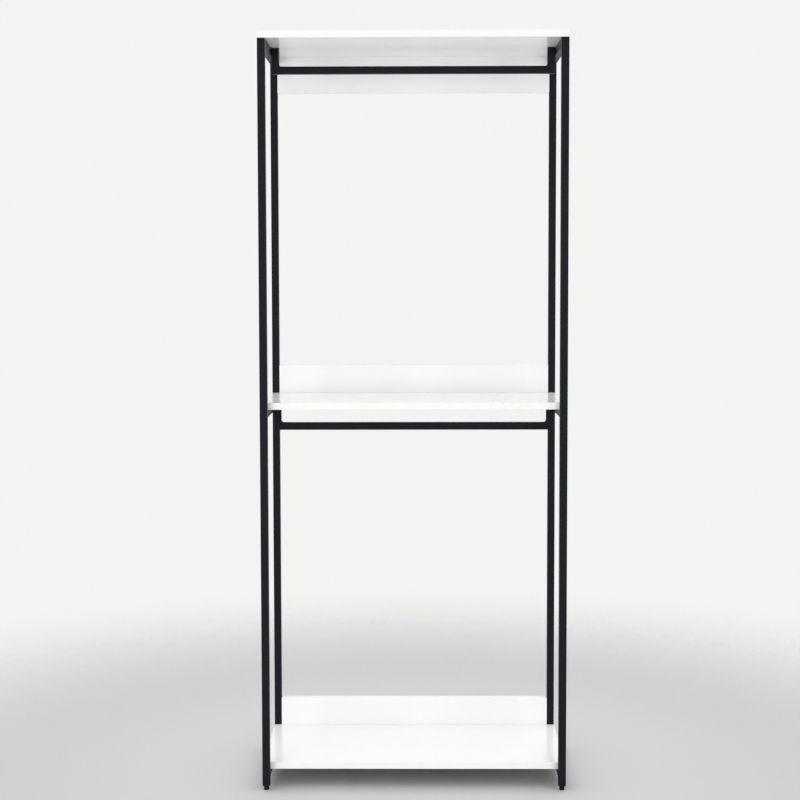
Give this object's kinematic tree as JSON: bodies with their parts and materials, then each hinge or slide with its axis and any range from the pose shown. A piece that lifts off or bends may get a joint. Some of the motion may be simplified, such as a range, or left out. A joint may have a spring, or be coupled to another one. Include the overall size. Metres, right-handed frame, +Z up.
{
  "type": "open clothes rack",
  "caption": "Tall open clothes rack: black square steel tube frame, white board shelves with upright back boards, hanging rails on short drops, levelling feet.",
  "frame": {"origin": "on the floor, under the middle of the rack", "axes": "+Z up, +X to the right seen from the front, +Y to the back, so the front faces -Y"},
  "size_m": [0.8072, 0.4, 1.9813],
  "materials": {
    "powder_coat": "satin black powder coat",
    "melamine": "white melamine facing on particle board",
    "plastic": "moulded black polyethylene",
    "black_steel": "black oxide",
    "zinc": "bright zinc plate"
  },
  "bodies": {
    "frame": {"post_front_left": "powder_coat", "post_front_right": "powder_coat", "post_rear_left": "powder_coat", "post_rear_right": "powder_coat", "side_rail_upper_left": "powder_coat", "side_rail_upper_right": "powder_coat", "side_rail_middle_left": "powder_coat", "side_rail_middle_right": "powder_coat", "side_rail_lower_left": "powder_coat", "side_rail_lower_right": "powder_coat", "hanging_rail_upper": "powder_coat", "rail_drop_upper_left": "powder_coat", "rail_bolt_upper_left": "black_steel", "rail_nut_upper_left": "black_steel", "rail_drop_upper_right": "powder_coat", "rail_bolt_upper_right": "black_steel", "rail_nut_upper_right": "black_steel", "hanging_rail_lower": "powder_coat", "rail_drop_lower_left": "powder_coat", "rail_bolt_lower_left": "black_steel", "rail_nut_lower_left": "black_steel", "rail_drop_lower_right": "powder_coat", "rail_bolt_lower_right": "black_steel", "rail_nut_lower_right": "black_steel", "shelf_upper": "melamine", "back_board_upper": "melamine", "back_screw_upper_left": "zinc", "shelf_screw_upper_left_front": "black_steel", "shelf_screw_upper_left_rear": "black_steel", "back_screw_upper_right": "zinc", "shelf_screw_upper_right_front": "black_steel", "shelf_screw_upper_right_rear": "black_steel", "shelf_middle": "melamine", "back_board_middle": "melamine", "back_screw_middle_left": "zinc", "shelf_screw_middle_left_front": "black_steel", "shelf_screw_middle_left_rear": "black_steel", "back_screw_middle_right": "zinc", "shelf_screw_middle_right_front": "black_steel", "shelf_screw_middle_right_rear": "black_steel", "shelf_lower": "melamine", "back_board_lower": "melamine", "back_screw_lower_left": "zinc", "shelf_screw_lower_left_front": "black_steel", "shelf_screw_lower_left_rear": "black_steel", "back_screw_lower_right": "zinc", "shelf_screw_lower_right_front": "black_steel", "shelf_screw_lower_right_rear": "black_steel", "foot_plug_front_left": "plastic", "foot_plug_front_right": "plastic", "foot_plug_rear_left": "plastic", "foot_plug_rear_right": "plastic"},
    "pad_front_left": {"foot_pad_front_left": "plastic"},
    "stud_front_left": {"foot_stud_front_left": "black_steel"},
    "pad_front_right": {"foot_pad_front_right": "plastic"},
    "stud_front_right": {"foot_stud_front_right": "black_steel"},
    "pad_rear_left": {"foot_pad_rear_left": "plastic"},
    "stud_rear_left": {"foot_stud_rear_left": "black_steel"},
    "pad_rear_right": {"foot_pad_rear_right": "plastic"},
    "stud_rear_right": {"foot_stud_rear_right": "black_steel"}
  },
  "joints": [
    {"name": "level_front_left", "type": "slide", "parent": "frame", "child": "pad_front_left", "axis": [0, 0, -1], "range_m": [0, 0.012]},
    {"name": "turn_front_left", "type": "hinge", "parent": "pad_front_left", "child": "stud_front_left", "pos_m": [-0.39, -0.19, 0], "axis": [0, 0, -1], "range_deg": [0, 3456]},
    {"name": "level_front_right", "type": "slide", "parent": "frame", "child": "pad_front_right", "axis": [0, 0, -1], "range_m": [0, 0.012]},
    {"name": "turn_front_right", "type": "hinge", "parent": "pad_front_right", "child": "stud_front_right", "pos_m": [0.39, -0.19, 0], "axis": [0, 0, -1], "range_deg": [0, 3456]},
    {"name": "level_rear_left", "type": "slide", "parent": "frame", "child": "pad_rear_left", "axis": [0, 0, -1], "range_m": [0, 0.012]},
    {"name": "turn_rear_left", "type": "hinge", "parent": "pad_rear_left", "child": "stud_rear_left", "pos_m": [-0.39, 0.19, 0], "axis": [0, 0, -1], "range_deg": [0, 3456]},
    {"name": "level_rear_right", "type": "slide", "parent": "frame", "child": "pad_rear_right", "axis": [0, 0, -1], "range_m": [0, 0.012]},
    {"name": "turn_rear_right", "type": "hinge", "parent": "pad_rear_right", "child": "stud_rear_right", "pos_m": [0.39, 0.19, 0], "axis": [0, 0, -1], "range_deg": [0, 3456]}
  ],
  "couplings": [
    {"joint": "turn_front_left", "follows": "level_front_left", "rad_per_m": 5026.5},
    {"joint": "turn_front_right", "follows": "level_front_right", "rad_per_m": 5026.5},
    {"joint": "turn_rear_left", "follows": "level_rear_left", "rad_per_m": 5026.5},
    {"joint": "turn_rear_right", "follows": "level_rear_right", "rad_per_m": 5026.5}
  ]
}
